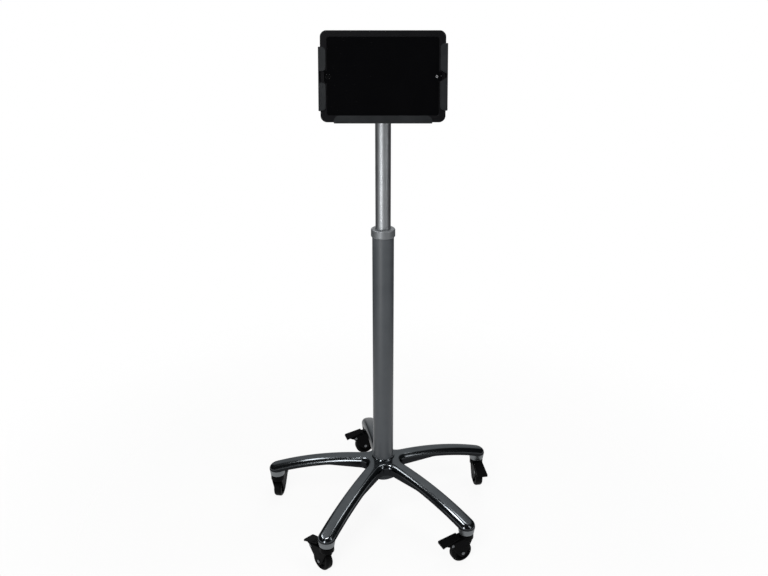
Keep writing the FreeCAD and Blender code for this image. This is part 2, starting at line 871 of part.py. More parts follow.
def rivet(radius, trail, height):
    # plain pin through both cheeks, with a low domed head at each end
    across = Vector(0, 1, 0)
    half = fork_width / 2
    pin = rod_along(radius, across, -half, half, height)
    head = rod_along(radius + rivet_head_rim, across, half, half + rivet_head_height, height)
    rim = [edge for edge in head.Edges if edge.BoundBox.YMin > half + rivet_head_height / 2]
    head = head.makeFillet(rivet_head_height / 2, rim)
    other = head.mirror(Vector(0, 0, 0), across)
    shape = pin.multiFuse([head, other])
    shape.translate(Vector(trail, 0, 0))
    return shape


def caster_rivets():
    pin_x, pin_z = pin_place
    axle = rivet(axle_radius, wheel_trail, wheel_radius)
    return Part.makeCompound([axle, rivet(pin_radius, pin_x, pin_z)])


def at_axle(shape):
    # drawn round +Z, then laid on the axle
    shape.rotate(Vector(0, 0, 0), Vector(1, 0, 0), 90)
    shape.translate(Vector(wheel_trail, 0, wheel_radius))
    return shape


def wheel_core():
    half = core_width / 2
    web = core_web_width / 2
    hub = axle_radius + hub_bore_wall
    hub_half = cheek_inside() - face_gap
    core = rod(core_radius, -half, half)
    for low, high in ((-half - overrun, -web), (web, half + overrun)):
        core = core.cut(ring(core_radius - core_rim, hub, low, high))
    core = core.fuse(rod(hub, -hub_half, hub_half))
    bore = rod(axle_radius + running_gap, -fork_width, fork_width)
    return at_axle(core.cut(bore))


def wheel_tread():
    half = tread_width / 2
    tread = rod(wheel_radius, -half, half)
    tread = tread.makeFillet(tread_corner, level_edges(tread, half) + level_edges(tread, -half))
    return at_axle(tread.cut(rod(core_radius, -fork_width, fork_width)))


def lever_plate():
    # flared foot plate, sloping down to its tip
    soft = lever_root_corner
    plan = [(lever_root, -lever_root_half, soft), (lever_tip, -lever_tip_half, lever_corner)]
    plan += [(lever_tip, lever_tip_half, lever_corner), (lever_root, lever_root_half, soft)]
    plate = raised(rounded(plan), 0, caster_height)
    tip_top = lever_tip_height + lever_thickness
    side = [(lever_root, lever_root_height), (lever_tip - lever_thickness, lever_tip_height)]
    side += [(lever_tip - lever_thickness, lever_tip_height - lever_lip)]
    side += [(lever_tip, lever_tip_height - lever_lip), (lever_tip, tip_top)]
    side += [(lever_root, lever_root_height + lever_thickness)]
    return plate.common(upright(rounded([(x, y, 0) for x, y in side]), lever_tip_half + overrun))


def brake_lever():
    pin_x, pin_z = pin_place
    reach = wheel_radius + shoe_gap + shoe_radius
    shoe_x = wheel_trail + reach * math.cos(math.radians(shoe_angle))
    shoe_z = wheel_radius + reach * math.sin(math.radians(shoe_angle))
    half = cheek_inside() - face_gap
    cam = upright(belt([(shoe_x, shoe_z, shoe_radius), (pin_x, pin_z, lever_eye_radius)]), half)
    slope = (lever_tip_height - lever_root_height) / (lever_tip - lever_root)
    front_z = lever_root_height + slope * (web_front - lever_root)
    rear_z = lever_root_height + slope * (web_rear - lever_root)
    web = [(pin_x, pin_z, lever_eye_radius), (web_rear, rear_z, web_round), (web_front, front_z, web_round)]
    web = upright(belt(web), half)
    shape = lever_plate().multiFuse([cam, web])
    return drilled(shape, pin_radius + running_gap, pin_x, pin_z)


def to_caster(shape, index):
    copy = shape.copy()
    copy.rotate(Vector(0, 0, 0), Vector(0, 0, 1), caster_headings[index])
    angle = math.radians(arm_angle(index))
    copy.translate(Vector(stem_reach * math.cos(angle), stem_reach * math.sin(angle), 0))
    return copy


def at_every_caster(shape):
    return Part.makeCompound([to_caster(shape, index) for index in range(arm_count)])


def grip_ring_span():
    top = caster_height + stem_rise - grip_ring_drop
    return top - grip_ring_height, top


def caster_stem():
    head_top = slot_top() - face_gap
    head = rod(stem_head_radius, head_top - stem_head_height, head_top)
    top = caster_height + stem_rise
    stem = head.fuse(rod(stem_radius, head_top - overrun, top))
    low, high = grip_ring_span()
    return stem.cut(ring(stem_radius + overrun, stem_radius - grip_ring_thickness, low, high))


def stem_grip_ring():
    low, high = grip_ring_span()
    inner = stem_radius - grip_ring_thickness + seat_gap
    return ring(stem_radius + seat_gap, inner, low + seat_gap, high - seat_gap)


def swivel_washer():
    return ring(swivel_washer_radius, stem_radius + seat_gap, fork_top() + face_gap, caster_height)


def write_node(name, shape):
    shape.exportStep("parts/" + name + ".step")


def write_stand():
    write_node("star_base", star_base())
    write_node("outer_column", outer_column())
    write_node("column_foot_plug", column_foot_plug())
    write_node("column_washer", column_washer())
    write_node("column_bolt", column_bolt())
    write_node("column_collar", column_collar())
    write_node("collar_bush", collar_bush())
    write_node("collar_clamp_screw", collar_clamp_screw())
    write_node("inner_column", inner_column())
    write_node("lower_guide_ring", lower_guide_ring())
    write_node("neck_clevis", neck_clevis())
    write_node("neck_set_screws", neck_set_screws())
    write_node("tilt_pin", tilt_pin())
    write_node("tilt_washers", tilt_washers())
    write_node("tilt_nut", tilt_nut())


def write_head():
    makers = (tilt_knuckle, rotation_washer, rotation_spindle, rotation_plate, cradle, cradle_screws)
    makers += (cradle_pads, case_back_shell, case_front_frame, tablet_housing, tablet_glass)
    makers += (home_button, camera_lens)
    for maker in makers:
        write_node(maker.__name__, to_head(maker()))


def write_casters():
    write_node("caster_stems", at_every_caster(caster_stem()))
    write_node("stem_grip_rings", at_every_caster(stem_grip_ring()))
    write_node("swivel_washers", at_every_caster(swivel_washer()))
    for maker in (caster_fork, caster_rivets, wheel_core, wheel_tread, brake_lever):
        shape = maker()
        for index in range(arm_count):
            write_node(maker.__name__ + "_" + str(index + 1), to_caster(shape, index))


os.makedirs("parts", exist_ok=True)
write_stand()
write_head()
write_casters()
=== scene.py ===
import json
import math
import bpy
import bmesh
from functools import lru_cache
from mathutils import Matrix, Vector


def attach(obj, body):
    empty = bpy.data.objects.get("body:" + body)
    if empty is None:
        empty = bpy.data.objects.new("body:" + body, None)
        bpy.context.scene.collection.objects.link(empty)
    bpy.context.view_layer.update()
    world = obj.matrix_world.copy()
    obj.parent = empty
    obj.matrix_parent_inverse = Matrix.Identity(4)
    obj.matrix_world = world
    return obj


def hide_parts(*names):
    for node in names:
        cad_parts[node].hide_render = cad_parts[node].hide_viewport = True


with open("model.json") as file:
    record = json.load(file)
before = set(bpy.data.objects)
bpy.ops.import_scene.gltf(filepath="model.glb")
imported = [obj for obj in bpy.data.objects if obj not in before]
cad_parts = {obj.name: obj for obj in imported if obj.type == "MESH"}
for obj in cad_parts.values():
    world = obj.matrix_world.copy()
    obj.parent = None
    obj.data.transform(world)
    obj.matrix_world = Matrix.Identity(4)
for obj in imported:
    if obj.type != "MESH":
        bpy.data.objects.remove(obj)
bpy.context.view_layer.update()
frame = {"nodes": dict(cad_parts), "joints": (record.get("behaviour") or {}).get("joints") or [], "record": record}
nodes = frame["nodes"]
joints = {joint["name"]: joint for joint in frame["joints"]}
mm = 0.001
casterNumbers = range(1, 6)
print("frame loaded,", len(nodes), "nodes")


# the photograph's view: place and farthest in metres, turnUp in degrees from straight down, lens and sensor
# in mm
cameraView = {"place": (0.002, -1.864, 1.317), "turnUp": 68.68, "lens": 41.47, "sensorWidth": 36.0,
              "farthest": 60}


def addCamera(view):
    data = bpy.data.cameras.new("photoCamera")
    data.sensor_width = view["sensorWidth"]
    data.lens = view["lens"]
    data.clip_end = view["farthest"]
    camera = bpy.data.objects.new("photoCamera", data)
    camera.location = view["place"]
    camera.rotation_euler = (math.radians(view["turnUp"]), 0, 0)
    bpy.context.scene.collection.objects.link(camera)
    bpy.context.scene.camera = camera


addCamera(cameraView)
bpy.context.scene.view_settings.view_transform = "Standard"
print("camera set")


def addNode(tree, kind, settings=None, inputs=None):
    node = tree.nodes.new(kind)
    for key, value in (settings or {}).items():
        setattr(node, key, value)
    for key, value in (inputs or {}).items():
        if isinstance(value, bpy.types.NodeSocket):
            tree.links.new(value, node.inputs[key])
        else:
            node.inputs[key].default_value = value
    return node


def linear(hexText):
    # from an sRGB hex colour
    parts = [int(hexText[i:i + 2], 16) / 255 for i in (0, 2, 4)]
    light = [part / 12.92 if part <= 0.04045 else ((part + 0.055) / 1.055) ** 2.4 for part in parts]
    return tuple(light) + (1.0,)


white = linear("ffffff")

# white to the camera; what polished metal sees is a white backdrop, a pale ceiling behind the stand, dim
# walls elsewhere, and a floor that is pale toward the camera and dim at the sides and behind
# a ramp starts and ends at its two numbers, along a part of the direction looked in: X leads to the right,
# Y away from the camera and Z up, and across is X to either side
room = {"light": 0.32,
        "colors": {"backdrop": "ffffff", "wall": "2c2d2f", "ceiling": "cbcccd", "floorLeft": "f4f4f2",
                   "floorRight": "a8a9aa", "floorSide": "303132"},
        "ramps": {"leftToRight": ("X", -0.5, 0.3), "floorAway": ("Y", -0.7, -0.05),
                  "ceilingAway": ("Y", -0.15, 0.25), "ceilingAcross": ("across", 0.62, 0.36),
                  "horizon": ("Z", -0.1, 0.0), "backdropEdge": ("Y", 0.93, 0.99)}}


def addRoom(values):
    world = bpy.data.worlds.new("studioRoom")
    bpy.context.scene.world = world
    world.use_nodes = True
    tree = world.node_tree
    tree.nodes.clear()
    ray = addNode(tree, "ShaderNodeLightPath").outputs
    direction = addNode(tree, "ShaderNodeTexCoord").outputs["Generated"]
    parts = addNode(tree, "ShaderNodeSeparateXYZ", None, {0: direction}).outputs
    across = addNode(tree, "ShaderNodeMath", {"operation": "ABSOLUTE"}, {0: parts["X"]}).outputs[0]
    shares = {}
    for name, (along, start, end) in values["ramps"].items():
        shares[name] = addNode(tree, "ShaderNodeMapRange", {"interpolation_type": "SMOOTHSTEP"},
                               {"Value": across if along == "across" else parts[along],
                                "From Min": start, "From Max": end}).outputs[0]
    shares["overhead"] = addNode(tree, "ShaderNodeMath", {"operation": "MULTIPLY"},
                                 {0: shares["ceilingAway"], 1: shares["ceilingAcross"]}).outputs[0]
    colors = {name: linear(hexText) for name, hexText in values["colors"].items()}
    for name, share, first, second in [("nearFloor", "leftToRight", "floorLeft", "floorRight"),
                                       ("ground", "floorAway", "nearFloor", "floorSide"),
                                       ("above", "overhead", "wall", "ceiling"),
                                       ("around", "horizon", "ground", "above"),
                                       ("seen", "backdropEdge", "around", "backdrop")]:
        colors[name] = addNode(tree, "ShaderNodeMix", {"data_type": "RGBA"},
                               {"Factor": shares[share], "A": colors[first],
                                "B": colors[second]}).outputs["Result"]
    light = addNode(tree, "ShaderNodeBackground", None, {"Color": white, "Strength": values["light"]})
    mirrored = addNode(tree, "ShaderNodeBackground", None, {"Color": colors["seen"], "Strength": 1.0})
    plain = addNode(tree, "ShaderNodeBackground", None, {"Color": white, "Strength": 1.0})
    glossOrGlass = addNode(tree, "ShaderNodeMath", {"operation": "MAXIMUM"},
                           {0: ray["Is Glossy Ray"], 1: ray["Is Transmission Ray"]})
    unseen = addNode(tree, "ShaderNodeMixShader", None,
                     {0: glossOrGlass.outputs[0], 1: light.outputs[0], 2: mirrored.outputs[0]})
    whole = addNode(tree, "ShaderNodeMixShader", None,
                    {0: ray["Is Camera Ray"], 1: unseen.outputs[0], 2: plain.outputs[0]})
    addNode(tree, "ShaderNodeOutputWorld", None, {"Surface": whole.outputs[0]})


addRoom(room)

# places and sizes in metres, turn in degrees about the lamp's own aim; shownIn is what the lamp shows in:
# "all", or only the matt part of a surface ("diffuse"), or only its mirror-like part ("gloss")
# the gloss panels are the windows that the polished arms show as streaks
softboxes = [
    {"name": "keySoftbox", "place": (-0.6, -1.9, 1.75), "aim": (0, 0, 0.5), "turn": 0, "size": (1.0, 1.6),
     "watts": 30, "shownIn": "diffuse"},
    {"name": "backSoftbox", "place": (0.5, 2.0, 1.7), "aim": (0, 0, 0.6), "turn": 0, "size": (1.0, 1.6),
     "watts": 16, "shownIn": "diffuse"},
    {"name": "fillSoftbox", "place": (1.6, -1.15, 1.35), "aim": (0, 0, 0.5), "turn": 0, "size": (0.3, 1.8),
     "watts": 6, "shownIn": "all"},
    {"name": "topSoftbox", "place": (0.78, 0.26, 2.54), "aim": (0, 0, 0.1), "turn": 22, "size": (0.3, 1.0),
     "watts": 6, "shownIn": "all"},
    {"name": "leftPanel", "place": (-1.33, 0.12, 2.0), "aim": (-0.15, 0, 0.13), "turn": 0,
     "size": (0.95, 0.28), "watts": 9.5, "shownIn": "gloss"},
    {"name": "overheadPanel", "place": (-0.5, -0.76, 2.13), "aim": (0.15, -0.15, 0.13), "turn": 0,
     "size": (0.3, 0.6), "watts": 15, "shownIn": "gloss"},
    {"name": "lowPanel", "place": (-0.98, -1.955, 0.42), "aim": (-0.1, 0, 0.13), "turn": 0,
     "size": (0.34, 0.9), "watts": 11.5, "shownIn": "gloss"},
]


def addSoftbox(values):
    data = bpy.data.lights.new(values["name"], "AREA")
    data.shape = "RECTANGLE"
    data.size, data.size_y = values["size"]
    data.energy = values["watts"]
    lamp = bpy.data.objects.new(values["name"], data)
    lamp.location = values["place"]
    aim = Vector(values["aim"]) - Vector(values["place"])
    turn = Matrix.Rotation(math.radians(values["turn"]), 3, "Z")
    lamp.rotation_euler = (aim.to_track_quat("-Z", "Y").to_matrix() @ turn).to_euler()
    lamp.visible_diffuse = values["shownIn"] != "gloss"
    lamp.visible_glossy = values["shownIn"] != "diffuse"
    bpy.context.scene.collection.objects.link(lamp)


for softbox in softboxes:
    addSoftbox(softbox)

# a pale studio floor: its glow keeps it white to the camera, its matt part takes the shadow
# radius and the fade's ends in metres, speckle in mm; bounce is its colour for the light that it throws back
floor = {"radius": 2.6, "segments": 96, "fade": (0.5, 1.3), "glow": 0.9, "tones": ("f1f1ef", "f7f7f6"),
         "bounce": "60605e", "roughness": 0.3, "speckle": 3.0, "detail": 2.0}


def addFloor(values):
    shape = bmesh.new()
    bmesh.ops.create_circle(shape, cap_ends=True, segments=values["segments"], radius=values["radius"])
    mesh = bpy.data.meshes.new("studioFloor")
    shape.to_mesh(mesh)
    shape.free()
    surface = bpy.data.objects.new("studioFloor", mesh)
    bpy.context.scene.collection.objects.link(surface)
    material = bpy.data.materials.new("paleStudioPaint")  # matt paint: no gloss, a soft shadow only
    material.use_nodes = True
    tree = material.node_tree
    tree.nodes.clear()
    ray = addNode(tree, "ShaderNodeLightPath").outputs
    place = addNode(tree, "ShaderNodeTexCoord").outputs["Object"]
    speckle = addNode(tree, "ShaderNodeTexNoise", None,
                      {"Vector": place, "Scale": 1 / (values["speckle"] * mm), "Detail": values["detail"]})
    pale, palest = values["tones"]
    tone = addNode(tree, "ShaderNodeMix", {"data_type": "RGBA"},
                   {"Factor": speckle.outputs[0], "A": linear(pale), "B": linear(palest)})
    matt = addNode(tree, "ShaderNodeBsdfDiffuse", None,
                   {"Color": tone.outputs["Result"], "Roughness": values["roughness"]})
    glow = addNode(tree, "ShaderNodeEmission", None, {"Color": white, "Strength": 1.0})
    shown = addNode(tree, "ShaderNodeMixShader", None,
                    {0: values["glow"], 1: matt.outputs[0], 2: glow.outputs[0]})
    glossOrGlass = addNode(tree, "ShaderNodeMath", {"operation": "MAXIMUM"},
                           {0: ray["Is Glossy Ray"], 1: ray["Is Transmission Ray"]})
    seen = addNode(tree, "ShaderNodeMath", {"operation": "MAXIMUM"},
                   {0: ray["Is Camera Ray"], 1: glossOrGlass.outputs[0]})
    bounce = addNode(tree, "ShaderNodeBsdfDiffuse", None,
                     {"Color": linear(values["bounce"]), "Roughness": values["roughness"]})
    lit = addNode(tree, "ShaderNodeMixShader", None,
                  {0: seen.outputs[0], 1: bounce.outputs[0], 2: shown.outputs[0]})
    reach = addNode(tree, "ShaderNodeVectorMath", {"operation": "LENGTH"}, {0: place})
    start, end = values["fade"]
    fade = addNode(tree, "ShaderNodeMapRange", {"interpolation_type": "SMOOTHSTEP"},
                   {"Value": reach.outputs["Value"], "From Min": start, "From Max": end})
    clear = addNode(tree, "ShaderNodeBsdfTransparent")
    whole = addNode(tree, "ShaderNodeMixShader", None,
                    {0: fade.outputs[0], 1: lit.outputs[0], 2: clear.outputs[0]})
    addNode(tree, "ShaderNodeOutputMaterial", None, {"Surface": whole.outputs[0]})
    mesh.materials.append(material)


addFloor(floor)
print("studio set")


# dark and light are the two tones that drift across a surface; patch and grain are the sizes of its blotches
# and of its fine texture, depth is the grain's height, all in mm; roughness goes from dark to light as well
# a finish also has the values below, unless it names its own: stretch and bump act on the grain, grainShare
# is how much the grain counts beside the patches, drift is where their sum turns from dark to light
plainFinish = {"metallic": 0.0, "stretch": (1, 1, 1), "bump": 0.6, "patchDetail": 3.0, "grainDetail": 4.0,
               "grainRoughness": 0.6, "grainShare": 0.5, "drift": (0.45, 1.05), "shader": {}}


def makeFinish(name, ownValues):
    values = {**plainFinish, **ownValues}
    material = bpy.data.materials.new(name)
    material.use_nodes = True
    tree = material.node_tree
    tree.nodes.clear()
    place = addNode(tree, "ShaderNodeTexCoord").outputs["Object"]
    stretch = addNode(tree, "ShaderNodeMapping", None, {"Vector": place, "Scale": values["stretch"]})
    patches = addNode(tree, "ShaderNodeTexNoise", None,
                      {"Vector": place, "Scale": 1 / (values["patch"] * mm), "Detail": values["patchDetail"]})
    grain = addNode(tree, "ShaderNodeTexNoise", None,
                    {"Vector": stretch.outputs[0], "Scale": 1 / (values["grain"] * mm),
                     "Detail": values["grainDetail"], "Roughness": values["grainRoughness"]})
    both = addNode(tree, "ShaderNodeMath", {"operation": "MULTIPLY_ADD"},
                   {0: grain.outputs[0], 1: values["grainShare"], 2: patches.outputs[0]})
    start, end = values["drift"]
    drift = addNode(tree, "ShaderNodeMapRange", None,
                    {"Value": both.outputs[0], "From Min": start, "From Max": end})
    tone = addNode(tree, "ShaderNodeMix", {"data_type": "RGBA"},
                   {"Factor": drift.outputs[0], "A": linear(values["dark"]), "B": linear(values["light"])})
    # painted shade: the flank tone darkens the flanks, in place of the dark reflections there
    if "paintedShadeTone" in values:  # darker where the piece's own unshadedShare falls to nought
        crown = addNode(tree, "ShaderNodeAttribute", {"attribute_name": "unshadedShare"})
        tone = addNode(tree, "ShaderNodeMix", {"data_type": "RGBA"},
                       {"Factor": crown.outputs["Fac"], "A": linear(values["paintedShadeTone"]),
                        "B": tone.outputs["Result"]})
    low, high = values["roughness"]
    rough = addNode(tree, "ShaderNodeMapRange", None,
                    {"Value": drift.outputs[0], "To Min": low, "To Max": high})
    bump = addNode(tree, "ShaderNodeBump", None,
                   {"Strength": values["bump"], "Distance": values["depth"] * mm, "Height": grain.outputs[0]})
    shader = addNode(tree, "ShaderNodeBsdfPrincipled", None,
                     {"Base Color": tone.outputs["Result"], "Metallic": values["metallic"],
                      "Roughness": rough.outputs[0], "Normal": bump.outputs[0], **values["shader"]})
    addNode(tree, "ShaderNodeOutputMaterial", None, {"Surface": shader.outputs[0]})
    return material


finishes = {
    # aluminium casting, buffed on a wheel: deep dark reflections with slow waves in them
    "buffedCastAluminium": {"dark": "5b5f62", "light": "696d70", "metallic": 1.0, "roughness": (0.15, 0.2),
                            "patch": 60, "grain": 14, "depth": 0.01, "bump": 0.1},
    # the same casting on the arms, buffed bright on the crown; painted shade on the flanks: a near-black tone
    # and a grey edge tint stand in for the dark reflections there
    "buffedAluminiumPaintedShadeFlank": {"dark": "5b5f62", "light": "696d70", "paintedShadeTone": "202123", "metallic": 1.0,
                                 "roughness": (0.15, 0.2), "patch": 60, "grain": 14, "depth": 0.01,
                                 "bump": 0.1, "shader": {"Specular Tint": linear("bcbcbc")}},
    # the same casting where it is only blasted: even, satin, mid grey
    "blastedCastAluminium": {"dark": "666a6c", "light": "787b7d", "metallic": 1.0, "roughness": (0.4, 0.52),
                             "patch": 25, "grain": 1.2, "depth": 0.06},
    # the same casting underneath, as it left the mould: dull and slightly rough; its dark tone is painted shade
    # under the arms
    "rawCastAluminiumPaintedShade": {"dark": "303234", "light": "3e4042", "metallic": 1.0, "roughness": (0.46, 0.6),
                         "patch": 25, "grain": 1.6, "depth": 0.08},
    # polyester powder coat baked on the steel tube: satin slate, a faint orange peel, drawn coarse to show
    "slatePowderCoat": {"dark": "494d51", "light": "53575b", "roughness": (0.36, 0.46),
                        "patch": 45, "grain": 2.0, "depth": 0.05, "bump": 0.4},
    # the same coat in mid grey on the collar
    "greyPowderCoat": {"dark": "7e8184", "light": "8a8d90", "metallic": 0.6, "roughness": (0.42, 0.5),
                       "patch": 18, "grain": 1.6, "depth": 0.05, "bump": 0.4},
    # drawn aluminium tube, satin anodised: fine lines along its length spread the highlight
    "anodisedDrawnAluminium": {"dark": "a2a5a8", "light": "b0b3b6", "metallic": 1.0, "roughness": (0.4, 0.48),
                               "patch": 60, "grain": 0.8, "depth": 0.02, "stretch": (1, 1, 0.02)},
    # zinc plate on turned steel: bright grey with a slight bloom
    "zincPlatedSteel": {"dark": "9b9d9e", "light": "c1c2c1", "metallic": 1.0, "roughness": (0.24, 0.38),
                        "patch": 5, "grain": 0.5, "depth": 0.01},
    # the casters' rivets, zinc plated and passivated: the same bloom, greyer
    "passivatedZincSteel": {"dark": "5c5e60", "light": "6e7072", "metallic": 1.0, "roughness": (0.36, 0.48),
                            "patch": 4, "grain": 0.5, "depth": 0.01},
    # spring steel, tempered: darker and a little blue
    "temperedSpringSteel": {"dark": "6e7175", "light": "85888b", "metallic": 1.0, "roughness": (0.25, 0.4),
                            "patch": 5, "grain": 0.5, "depth": 0.01},
    # black oxide on a machined screw: dark, oily sheen
    "blackOxideSteel": {"dark": "1b1b1c", "light": "29292b", "metallic": 1.0, "roughness": (0.3, 0.42),
                        "patch": 5, "grain": 0.5, "depth": 0.01},
    # injection moulded nylon: nearly black, waxy
    "mouldedNylon": {"dark": "161617", "light": "1e1e20", "roughness": (0.42, 0.55),
                     "patch": 12, "grain": 0.9, "depth": 0.03,
                     "shader": {"Specular IOR Level": 0.25}},
    # textured black powder coat on the joint's castings: fine sand texture that breaks the shine
    "sandBlackPowderCoat": {"dark": "18191a", "light": "212224", "roughness": (0.5, 0.64),
                            "patch": 20, "grain": 1.0, "depth": 0.1,
                            "shader": {"Specular IOR Level": 0.3}},
    # charcoal powder coat on folded steel sheet: satin, its bends catch the light
    "charcoalPowderCoat": {"dark": "1d1f21", "light": "27292b", "roughness": (0.34, 0.46),
                           "patch": 35, "grain": 1.4, "depth": 0.05, "bump": 0.5,
                           "shader": {"Specular IOR Level": 0.15}},
    # pressed rubber pads: flat and dusty
    "pressedRubber": {"dark": "151515", "light": "1d1d1d", "roughness": (0.7, 0.85),
                      "patch": 8, "grain": 0.8, "depth": 0.06},
    # polycarbonate case, spark eroded mould: soft charcoal with no clear highlight
    "sparkTexturedPolycarbonate": {"dark": "09090b", "light": "0e0e11", "roughness": (0.5, 0.62),
                                   "patch": 22, "grain": 1.0, "depth": 0.05,
                                   "shader": {"Specular IOR Level": 0.08}},
    # bead blasted and anodised aluminium housing
    "beadBlastedAluminium": {"dark": "84878a", "light": "94979a", "metallic": 1.0, "roughness": (0.36, 0.44),
                             "patch": 30, "grain": 0.6, "depth": 0.01},
    # acetal washers: dark grey, slippery
    "turnedAcetal": {"dark": "272728", "light": "323233", "roughness": (0.3, 0.42),
                     "patch": 8, "grain": 0.7, "depth": 0.02},
    # glass filled nylon of the forks and levers: black with a faint mottle from the mould
    "glassFilledNylon": {"dark": "040405", "light": "080809", "roughness": (0.46, 0.6),
                         "patch": 10, "grain": 1.1, "depth": 0.05,
                         "shader": {"Specular IOR Level": 0.04}},
    # polyurethane tread, cast on: black and slightly duller than the fork
    "castPolyurethane": {"dark": "050505", "light": "0a0a0b", "roughness": (0.46, 0.62),
                         "patch": 9, "grain": 0.9, "depth": 0.04,
                         "shader": {"Specular IOR Level": 0.06}},
    # cover glass over a dark screen: black with a clear reflection
    "blackCoverGlass": {"dark": "040405", "light": "060607", "roughness": (0.03, 0.06),
                        "patch": 60, "grain": 20, "depth": 0.002, "bump": 0.1, "shader": {"IOR": 1.5}},
    # sapphire-like lens cap: very dark blue, mirror smooth
    "coatedLensGlass": {"dark": "07080d", "light": "0c0d14", "roughness": (0.02, 0.04),
                        "patch": 3, "grain": 2, "depth": 0.001, "bump": 0.1, "shader": {"IOR": 1.6}},
    # painted highlight: the camera's surround in pale satin grey stands in for a glint on the black front
    "paleRingPaintedGlint": {"dark": "b6b8ba", "light": "c4c6c8", "roughness": (0.4, 0.5),
                          "patch": 3, "grain": 0.6, "depth": 0.005},
    # button top in gloss black plastic
    "glossBlackPlastic": {"dark": "060607", "light": "0a0a0b", "roughness": (0.1, 0.16),
                          "patch": 6, "grain": 4, "depth": 0.002, "bump": 0.2},
}
finish = {name: makeFinish(name, values) for name, values in finishes.items()}
print("finishes made:", len(finish))

# the finish for each slot of the record
slotFinish = {
    "cast_alloy": "buffedCastAluminium", "column_paint": "slatePowderCoat", "collar_grey": "greyPowderCoat",
    "bearing_nylon": "mouldedNylon", "bright_steel": "zincPlatedSteel", "spring_steel": "temperedSpringSteel",
    "black_steel": "blackOxideSteel", "satin_aluminium": "anodisedDrawnAluminium",
    "black_paint": "sandBlackPowderCoat", "friction_plastic": "turnedAcetal",
    "cradle_paint": "charcoalPowderCoat", "pad_rubber": "pressedRubber",
    "case_plastic": "sparkTexturedPolycarbonate", "tablet_metal": "beadBlastedAluminium",
    "screen_glass": "blackCoverGlass", "button_plastic": "glossBlackPlastic", "lens_glass": "coatedLensGlass",
    "fork_plastic": "glassFilledNylon", "lever_plastic": "glassFilledNylon",
    "rivet_steel": "passivatedZincSteel", "tread_rubber": "castPolyurethane",
}
record = frame["record"]
nodeSlot = {part["node"]: part["material_slot"] for part in record["subparts"]}
nodeBody = {node: body for body, held in record["behaviour"]["bodies"].items() for node in held}
for name, node in nodes.items():
    node.data.materials.clear()
    node.data.materials.append(finish[slotFinish[nodeSlot[name]]])


# points nearer than this become one
weld = {"node": 0.004 * mm, "mirror": 0.001 * mm, "cut": 0.001 * mm, "arms": 0.01 * mm, "turned": 0.005 * mm}

# in degrees: an edge that turns more than sharp stays crisp, and gets a round where it turns more than
# sharp + margin; faces that turn less than flat are joined
surfacing = {"sharp": 32.0, "margin": 8.0, "flat": 0.4, "rimSteps": 2}


def addPiece(shape, name, body, finishName, sharp=surfacing["sharp"]):
    for face in shape.faces:
        face.smooth = True
    for edge in shape.edges:
        edge.smooth = len(edge.link_faces) != 2 or edge.calc_face_angle(0) < math.radians(sharp)
    mesh = bpy.data.meshes.new(name)
    shape.to_mesh(mesh)
    shape.free()
    piece = bpy.data.objects.new(name, mesh)
    bpy.context.scene.collection.objects.link(piece)
    mesh.materials.append(finish[finishName])
    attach(piece, body)
    return piece


def mergedCopy(nodeName):
    shape = bmesh.new()
    shape.from_mesh(nodes[nodeName].data)
    bmesh.ops.remove_doubles(shape, verts=shape.verts, dist=weld["node"])
    return shape


def softened(nodeName, edgeRound):
    # a copy of a node with its flats joined, smooth curves and a small round on its edges
    shape = mergedCopy(nodeName)
    flat = math.radians(surfacing["flat"])
    bmesh.ops.dissolve_limit(shape, angle_limit=flat, verts=shape.verts, edges=shape.edges)
    slotName = nodeSlot[nodeName]
    piece = addPiece(shape, nodeName + "_shown", nodeBody[nodeName], slotFinish[slotName])
    if edgeRound:
        rim = piece.modifiers.new("edgeRound", "BEVEL")
        rim.width = edgeRound
        rim.segments = surfacing["rimSteps"]
        rim.limit_method = "ANGLE"
        rim.angle_limit = math.radians(surfacing["sharp"] + surfacing["margin"])
    normals = piece.modifiers.new("evenShading", "WEIGHTED_NORMAL")
    normals.keep_sharp = True
    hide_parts(nodeName)


# crown, overStem and bossFoot are heights above the floor; the arms are depth deep, and rootDepth at the hub;
# their tops are cut across at every station; the painted flank shade covers a spot fully where its normal's rise
# is under the tilt number, and fades out over the blend number above that; searchSteps is how often topHeight's
# search narrows
star = {"arms": 5, "rootHalfWidth": 17.8 * mm, "bossRadius": 19.58 * mm, "crotchRadius": 20.0 * mm,
        "crown": 151.0 * mm, "overStem": 102.1 * mm, "depth": 17.0 * mm, "rootDepth": 29.0 * mm,
        "shoulder": 13.0 * mm, "bossFoot": 85.0 * mm, "roundSteps": 9, "crotchSteps": 9, "tipSteps": 14,
        "firstStation": 20.0 * mm, "station": 9.0 * mm, "paintedShadeTilt": 0.16, "paintedShadeBlend": 0.14,
        "searchSteps": 14, "topSharp": 50, "undersideSharp": 35}

# foot, top and bore are radii; the ring goes from sink below the crown to rise above it
hubRing = {"foot": 29.0 * mm, "sink": 5.0 * mm, "top": 26.0 * mm, "rise": 3.0 * mm, "bore": 24.2 * mm,
           "round": 1.0 * mm, "steps": 96, "sharp": 50}

# the blasted cone below each boss: foot is its radius at the bottom, where it turns inward
bossBand = {"foot": 17.3 * mm, "inward": 2.0 * mm, "round": 0.8 * mm, "steps": 64, "sharp": 60}

# how near a face of star_base has to lie to a dressed surface to be covered by it; a normal that falls below
# downward belongs to the underside
cover = {"hub": 0.1 * mm, "bore": 0.2 * mm, "band": 0.2 * mm, "side": 0.5 * mm, "top": 0.3 * mm,
         "downward": -0.5}

up = Vector((0, 0, 1))
firstStem = Vector(joints["swivel_1"]["pos_m"])
stemCircle = math.hypot(firstStem.x, firstStem.y)
firstArm = math.atan2(firstStem.y, firstStem.x)
armStep = 2 * math.pi / star["arms"]
armDrop = star["crown"] - star["overStem"]
# the arms' tops lie on one large ball
crownRadius = (stemCircle ** 2 + armDrop ** 2) / (2 * armDrop)
